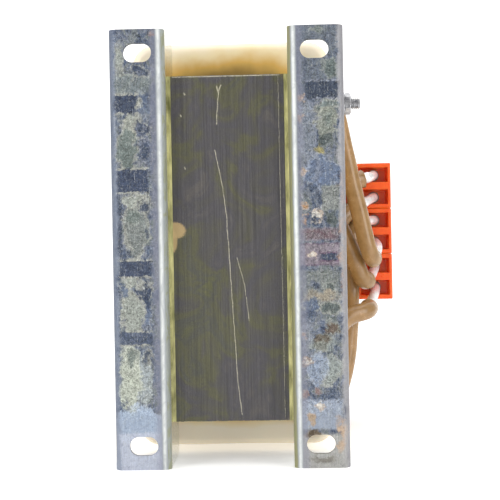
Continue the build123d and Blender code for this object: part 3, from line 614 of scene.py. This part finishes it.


# Crepe insulating paper, wound on and soaked in polyester resin. To the eye: pale cream, smooth and a
# little waxy, golden to ochre where resin pooled next to the core, and a painted shade darkens it to brown
# against the core.
def resin_soaked_wrap():
    material, tree, surface = new_material("resin_soaked_crepe_paper")
    place = place_mm(tree)
    x, y, z = split(tree, place)
    beyond = add(tree, "ShaderNodeMath", {0: z}, operation="ABSOLUTE")
    beyond = add(tree, "ShaderNodeMath", {0: beyond, 1: -88.0})
    spread = add(tree, "ShaderNodeMapRange", {"Value": z, "From Min": -1.0, "From Max": 1.0,
                                              "To Min": 2.2, "To Max": 1.0})
    height = add(tree, "ShaderNodeMath", {0: beyond, 1: spread}, operation="MULTIPLY")
    cloud = add(tree, "ShaderNodeTexNoise", {"Vector": place, "Scale": 0.05, "Detail": 3.0,
                                             "Roughness": 0.5})
    drift = add(tree, "ShaderNodeMapRange", {"Value": cloud, "From Min": 0.3, "From Max": 0.7,
                                             "To Min": -3.0, "To Max": 3.0})
    sideways = add(tree, "ShaderNodeMath", {0: x, 1: -4.0}, operation="ADD")
    sideways = add(tree, "ShaderNodeMath", {0: sideways}, operation="ABSOLUTE")
    fall = add(tree, "ShaderNodeMath", {0: sideways, 1: 0.12, 2: height}, operation="MULTIPLY_ADD")
    fall = add(tree, "ShaderNodeMath", {0: fall, 1: drift}, operation="ADD")
    resin_and_core_shade = add(tree, "ShaderNodeMapRange", {"Value": fall, "From Min": 26.0, "From Max": 0.0})
    # Away from the core, on the flanks of the coils, the resin colour and the painted shade fade back to
    # cream
    flank = add(tree, "ShaderNodeMath", {0: x}, operation="ABSOLUTE")
    flank = add(tree, "ShaderNodeMath", {0: flank, 1: drift}, operation="ADD")
    flank = add(tree, "ShaderNodeMapRange", {"Value": flank, "From Min": 33.0, "From Max": 44.0,
                                             "To Min": 1.0, "To Max": 0.3})
    resin_and_core_shade = add(tree, "ShaderNodeMath", {0: resin_and_core_shade, 1: flank}, operation="MULTIPLY")
    # Ramp from cream through resin gold to ochre and brown; its dark end is painted shade where the coil
    # meets the core
    colour = add(tree, "ShaderNodeValToRGB", {"Fac": resin_and_core_shade})
    ramp = colour.node.color_ramp
    ramp.elements[0].position, ramp.elements[0].color = 0.0, linear("#f4e8d0")
    ramp.elements[1].position, ramp.elements[1].color = 1.0, linear("#6f5c3a")
    for position, hue in ((0.25, "#f0dcae"), (0.5, "#dfb45c"), (0.75, "#a5853f")):
        element = ramp.elements.new(position)
        element.color = linear(hue)
    tree.links.new(colour, surface.inputs["Base Color"])
    surface.inputs["Roughness"].default_value = 0.42
    surface.inputs["Subsurface Weight"].default_value = 0.15
    surface.inputs["Subsurface Radius"].default_value = (0.004, 0.003, 0.002)
    crepe = add(tree, "ShaderNodeTexNoise", {"Vector": place, "Scale": 0.8, "Detail": 4.0})
    bump = add(tree, "ShaderNodeBump", {"Strength": 0.15, "Distance": 0.0002, "Height": crepe})
    tree.links.new(bump, surface.inputs["Normal"])
    return material


wrap_paper = resin_soaked_wrap()
for coil in ("coil_top", "coil_middle", "coil_bottom"):
    dress(nodes[coil + "_wrap"], wrap_paper)


# Plain procedural finishes: two colours mixed by a noise of a real size, with its own roughness
def mottled(name, dark, light, size_mm, roughness, metallic=0.0, bump_mm=0.05, stretch=(1, 1, 1)):
    material, tree, surface = new_material(name)
    place = place_mm(tree)
    shaped = add(tree, "ShaderNodeVectorMath", {0: place, 1: stretch}, operation="MULTIPLY")
    grain = add(tree, "ShaderNodeTexNoise", {"Vector": shaped, "Scale": 1 / size_mm, "Detail": 5.0,
                                             "Roughness": 0.6})
    share = add(tree, "ShaderNodeMapRange", {"Value": grain, "From Min": 0.3, "From Max": 0.7})
    colour = add(tree, "ShaderNodeMix", {"Factor": share, "A": dark, "B": light}, data_type="RGBA")
    tree.links.new(colour, surface.inputs["Base Color"])
    surface.inputs["Metallic"].default_value = metallic
    rough = add(tree, "ShaderNodeMapRange", {"Value": grain, "To Min": roughness - 0.12,
                                             "To Max": roughness + 0.12})
    tree.links.new(rough, surface.inputs["Roughness"])
    bump = add(tree, "ShaderNodeBump", {"Strength": 0.5, "Distance": bump_mm * MM, "Height": grain})
    tree.links.new(bump, surface.inputs["Normal"])
    return material


pressboard = mottled("varnished_pressboard", "#3b2f1c", "#7a6434", 3, 0.55)
coated_strips = mottled("resin_coated_pressboard", "#5a5a2c", "#c6c084", 3, 0.4, stretch=(1, 1, 0.22))
copper_wire = mottled("enamelled_copper_wire", "#7a3d1c", "#b5652e", 2, 0.35, 0.7)
glass_sleeving = mottled("varnished_glass_sleeving", "#87683f", "#a38158", 7, 0.24, bump_mm=0.04)
tinned_strands = mottled("tinned_copper_strands", "#d6d2cf", "#ffffff", 2, 0.34, 0.5)
orange_polyamide = mottled("orange_polyamide_moulded", "#ea5312", "#f46a22", 9, 0.3, bump_mm=0.02)
# Light gets some millimetres into the plastic and warms the pockets
plastic = next(n for n in orange_polyamide.node_tree.nodes if n.type == "BSDF_PRINCIPLED")
plastic.inputs["Subsurface Weight"].default_value = 0.5
plastic.inputs["Subsurface Radius"].default_value = (1.0, 0.22, 0.05)
plastic.inputs["Subsurface Scale"].default_value = 4 * MM
nickel_brass = mottled("nickel_plated_brass", "#8d8a82", "#b9b6ae", 3, 0.35, 0.9)
zinc_fastener = mottled("zinc_plated_fastener_steel", "#8b8c90", "#cfcfd1", 2, 0.3, 0.8)

for name, node in nodes.items():
    if "strip" in name:
        dress(node, coated_strips)
    elif "former" in name or name in ("air_gap_spacers", "bolt_tubes"):
        dress(node, pressboard)
    elif name.endswith("winding"):
        dress(node, copper_wire)
    elif name.endswith("sleeve"):
        dress(node, glass_sleeving)
    elif name.endswith("conductor"):
        dress(node, tinned_strands)
    elif name.startswith("terminal_block"):
        dress(node, orange_polyamide)
    elif name == "clamp_cages":
        dress(node, nickel_brass)
    elif name.startswith(("clamp", "earth", "terminal")):
        dress(node, zinc_fastener)


# Coil wraps: tape wound round each coil with half of every turn under the next, soft at the corners
tape_step, tape_rise, wrap_slack = 9.0, 0.22, 0.45
wrap_corner, wrap_rim, former_gap = 12.0, 5.0, 0.2
corner_steps, edge_steps = 8, 26


def rounded_outline(low_x, high_x, low_z, high_z, radius):
    """Points round a rectangle with rounded corners, the same number for any size."""
    middles = ((high_x - radius, high_z - radius), (low_x + radius, high_z - radius),
               (low_x + radius, low_z + radius), (high_x - radius, low_z + radius))
    corners = []
    for quarter, (cx, cz) in enumerate(middles):
        angles = [math.pi / 2 * (quarter + step / corner_steps) for step in range(corner_steps + 1)]
        corners.append([(cx + radius * math.cos(a), cz + radius * math.sin(a)) for a in angles])
    points = []
    for corner, after in zip(corners, corners[1:] + corners[:1]):
        points += corner
        (x0, z0), (x1, z1) = corner[-1], after[0]
        points += [(x0 + (x1 - x0) * i / edge_steps, z0 + (z1 - z0) * i / edge_steps)
                   for i in range(1, edge_steps)]
    return points


def make_wrap(coil):
    low, high = span(coil + "_wrap")
    hole_low, hole_high = span(coil + "_former")
    hole = rounded_outline(hole_low.x - former_gap, hole_high.x + former_gap,
                           hole_low.z - former_gap, hole_high.z + former_gap, 0.3)
    chance = random.Random(coil)
    shift = Vector((chance.uniform(0, 50), chance.uniform(0, 50), chance.uniform(0, 50)))

    def loop(y, inset):
        radius = max(wrap_corner - inset, 1.0)
        outline = rounded_outline(low.x + inset, high.x - inset, low.z + inset, high.z - inset, radius)
        points = []
        for i, (x, z) in enumerate(outline):
            lap = (y / tape_step + i / len(outline)) % 1.0
            soft = noise.noise(Vector((x, y, z)) * 0.06 + shift)
            give = wrap_slack - tape_rise * lap - 0.2 * (soft + 0.5)
            middle_x, middle_z = (low.x + high.x) / 2, (low.z + high.z) / 2
            away = Vector((x - middle_x, 0, z - middle_z)).normalized()
            points.append(Vector((x, y, z)) - away * max(give, 0))
        return points

    def end_face(y, sign):
        rim = rounded_outline(low.x + wrap_rim, high.x - wrap_rim, low.z + wrap_rim, high.z - wrap_rim,
                              wrap_corner - wrap_rim)
        loops = []
        for step in range(7):
            share = step / 6
            points = []
            for (hx, hz), (rx, rz) in zip(hole, rim):
                x, z = hx + (rx - hx) * share, hz + (rz - hz) * share
                sag = 0.25 * (noise.noise(Vector((x, y, z)) * 0.09 + shift) + 0.5)
                points.append(Vector((x, y + sign * max(sag, 0), z)))
            loops.append(points)
        return loops

    rim_angles = [math.pi / 2 * i / 6 for i in range(1, 7)]
    loops = end_face(low.y, 1)
    loops += [loop(low.y + wrap_rim * (1 - math.cos(a)), wrap_rim * (1 - math.sin(a))) for a in rim_angles]
    y = low.y + wrap_rim
    while y < high.y - wrap_rim - 1:
        y += 0.9
        loops.append(loop(y, 0))
    loops += [loop(high.y - wrap_rim * (1 - math.cos(a)), wrap_rim * (1 - math.sin(a)))
              for a in reversed(rim_angles)]
    loops += reversed(end_face(high.y, -1))
    mesh = bmesh.new()
    loft(mesh, loops, closed=True)
    finish_piece(coil + "_tape", mesh, wrap_paper, [coil + "_wrap"])


for coil in ("coil_top", "coil_middle", "coil_bottom"):
    make_wrap(coil)


# Leads. Each follows the middle of its own CAD node, found from the faces round it
lead_radius, sleeve_radius, bore_radius = 2.9, 5.3, 3.3
path_step = 0.8


def middle_path(name, radius):
    """Evenly spaced points along the middle of a swept round node, from the coil to the terminal."""
    faces = nodes[name].data.polygons
    left = [(face.center - face.normal * radius * MM) / MM for face in faces]
    far_y = max(point.y for point in left)
    here = next(point for point in left if point.y == far_y)
    path = []
    while left:
        near = [point for point in left if (point - here).length < 1.3]
        if near:
            path.append(sum(near, Vector()) / len(near))
            left = [point for point in left if (point - here).length >= 1.3]
        if left:
            here = min(left, key=lambda point: (point - path[-1]).length)
    path.reverse()
    for _ in range(2):
        path = even_steps(path)
        path = [path[0]] + [(a + 2 * b + c) / 4 for a, b, c in zip(path, path[1:], path[2:])] + [path[-1]]
    return path


def even_steps(path):
    """The same line with its points path_step apart."""
    points = [path[0]]
    rest = path_step
    for a, b in zip(path, path[1:]):
        length = (b - a).length
        while length > 0 and rest <= length:
            points.append(a.lerp(b, rest / length))
            rest += path_step
        rest -= length
    return points


def tube_loops(path, radius_at, segments):
    """Loops round a path. radius_at gives the radius for a place along it and an angle."""
    loops = []
    across = Vector((0, 0, 1)).cross(path[1] - path[0]).normalized()
    along = 0.0
    for i, point in enumerate(path):
        ahead = (path[min(i + 1, len(path) - 1)] - path[max(i - 1, 0)]).normalized()
        across = (across - across.dot(ahead) * ahead).normalized()
        other = ahead.cross(across)
        loop = []
        for k in range(segments):
            angle = 2 * math.pi * k / segments
            out = across * math.cos(angle) + other * math.sin(angle)
            loop.append(point + out * radius_at(along, angle))
        loops.append(loop)
        along += path_step
    return loops


def sleeve_reach(path, data):
    """Index of the point on a lead's path where its sleeve stops, found from the faces of its bore."""
    def nearest(point):
        return min(range(len(path)), key=lambda i: (path[i] - point).length)

    reach = 0
    for face in data.polygons:
        middle = (face.center + face.normal * bore_radius * MM) / MM
        i = nearest(middle)
        ahead = (path[min(i + 1, len(path) - 1)] - path[max(i - 1, 0)]).normalized()
        if (path[i] - middle).length < 0.8 and abs(face.normal.dot(ahead)) < 0.5:
            reach = max([reach] + [nearest(data.vertices[k].co / MM) for k in face.vertices])
    return reach


def make_lead(pole):
    path = middle_path(f"lead_{pole}_conductor", lead_radius)
    reach = sleeve_reach(path, nodes[f"lead_{pole}_sleeve"].data)
    chance = random.Random(pole)
    shift = chance.uniform(0, 40)

    def outside(along, angle):
        wander = noise.noise(Vector((along * 0.09 + shift, math.cos(angle), math.sin(angle))))
        to_end = (reach - 1) * path_step - along
        flare = 0.35 * math.exp(-max(to_end, 0) / 1.2)
        oval = 0.12 * math.cos(2 * angle + along * 0.03)
        return sleeve_radius - 0.1 + 0.16 * wander + oval + flare

    def inside(along, angle):
        return bore_radius + 0.1

    covered = path[:reach]
    outer = tube_loops(covered, outside, 40)
    hollow = tube_loops(covered, inside, 40)
    ahead = (path[reach] - path[reach - 1]).normalized()
    for loop in (outer[-1], hollow[-1]):
        for k in range(len(loop)):
            loop[k] = loop[k] + ahead * (0.35 * noise.noise(Vector((k * 0.35, shift, 0))))
    lip = [a.lerp(b, 0.5) + ahead * 0.25 for a, b in zip(outer[-1], hollow[-1])]
    mesh = bmesh.new()
    loft(mesh, outer + [lip] + list(reversed(hollow)), closed=True)
    finish_piece(f"lead_{pole}_sleeving", mesh, glass_sleeving, [f"lead_{pole}_sleeve"])

    # Conductor: strands laid side by side with a slow twist and flooded with tin
    strands, twist = 11, 2 * math.pi / 42
    bare = path[max(reach - 8, 0):]
    free_length = (len(path) - reach) * path_step

    def tinned(along, angle):
        groove = abs(math.sin((angle + along * twist) * strands / 2))
        beyond = along - 8 * path_step
        swell = 0.55 * math.exp(-((beyond - 2.5) / 2.6) ** 2) if free_length > 20 else 0.0
        lump = noise.noise(Vector((along * 0.25, math.cos(angle), math.sin(angle) + shift)))
        return lead_radius * (0.93 + 0.07 * groove ** 0.6) + swell + 0.08 * lump

    mesh = bmesh.new()
    loft(mesh, tube_loops(bare, tinned, 66))
    finish_piece(f"lead_{pole}_strands", mesh, tinned_strands,
                 [f"lead_{pole}_conductor"])


for pole in range(1, 7):
    make_lead(pole)


# Earth bolt and nut, with a rolled M6 thread and chamfered corners
thread_pitch, thread_depth, thread_steps = 1.0, 0.6, 8
across_flats = 10.0


def circle_loop(centre, x, radius_at, segments):
    """Loop round an X axis through centre, a (y, z) pair."""
    angles = [2 * math.pi * k / segments for k in range(segments)]
    return [(x, centre[0] + radius_at(a) * math.cos(a), centre[1] + radius_at(a) * math.sin(a))
            for a in angles]


def hexagon_loops(centre, start_x, end_x, chamfers):
    """Loops of a hexagon along X, its corners turned off at the ends that chamfers names."""
    flat = across_flats / 2
    depths = (0.0, 0.12, 0.28, 0.5, 0.75)
    places = [(start_x + d, d) for d in depths] + [(end_x - d, d) for d in reversed(depths)]
    loops = []
    for i, (x, depth) in enumerate(places):
        cut = chamfers[0] if i < len(depths) else chamfers[1]
        limit = flat * 0.96 + depth * 1.73 if cut else flat * 2

        def radius(angle):
            return min(flat / math.cos((angle + math.pi / 6) % (math.pi / 3) - math.pi / 6), limit)
        loops.append(circle_loop(centre, x, radius, 72))
    return loops


def make_earth_bolt():
    low, high = span("earth_bolt")
    centre = ((low.y + high.y) / 2, (low.z + high.z) / 2)
    seat_x = span("mounting_channel_right")[1].x - 2.5
    radius = 3.0
    mesh = bmesh.new()
    loft(mesh, hexagon_loops(centre, low.x, seat_x, (True, False)))

    def thread_loop(x):
        tip = radius - 0.75 + (high.x - x) * 1.0

        def depth_at(angle):
            turn = (x / thread_pitch - angle / (2 * math.pi)) % 1.0
            return min(radius - thread_depth * abs(2 * turn - 1), tip)
        return circle_loop(centre, x, depth_at, 40)
    steps = int((high.x - seat_x) * thread_steps / thread_pitch)
    loft(mesh, [thread_loop(seat_x + (high.x - seat_x) * i / steps) for i in range(steps + 1)])
    finish_piece("earth_bolt_threaded", mesh, zinc_fastener, ["earth_bolt"])


def make_earth_nut():
    low, high = span("earth_nut")
    centre = ((low.y + high.y) / 2, (low.z + high.z) / 2)
    hollow = [circle_loop(centre, x, lambda angle: r, 72) for x, r in
              ((high.x, 3.5), (high.x - 0.4, 3.1), (low.x + 0.4, 3.1), (low.x, 3.5))]
    mesh = bmesh.new()
    loft(mesh, hexagon_loops(centre, low.x, high.x, (True, True)) + hollow, closed=True)
    finish_piece("earth_nut_chamfered", mesh, zinc_fastener, ["earth_nut"])


make_earth_bolt()
make_earth_nut()
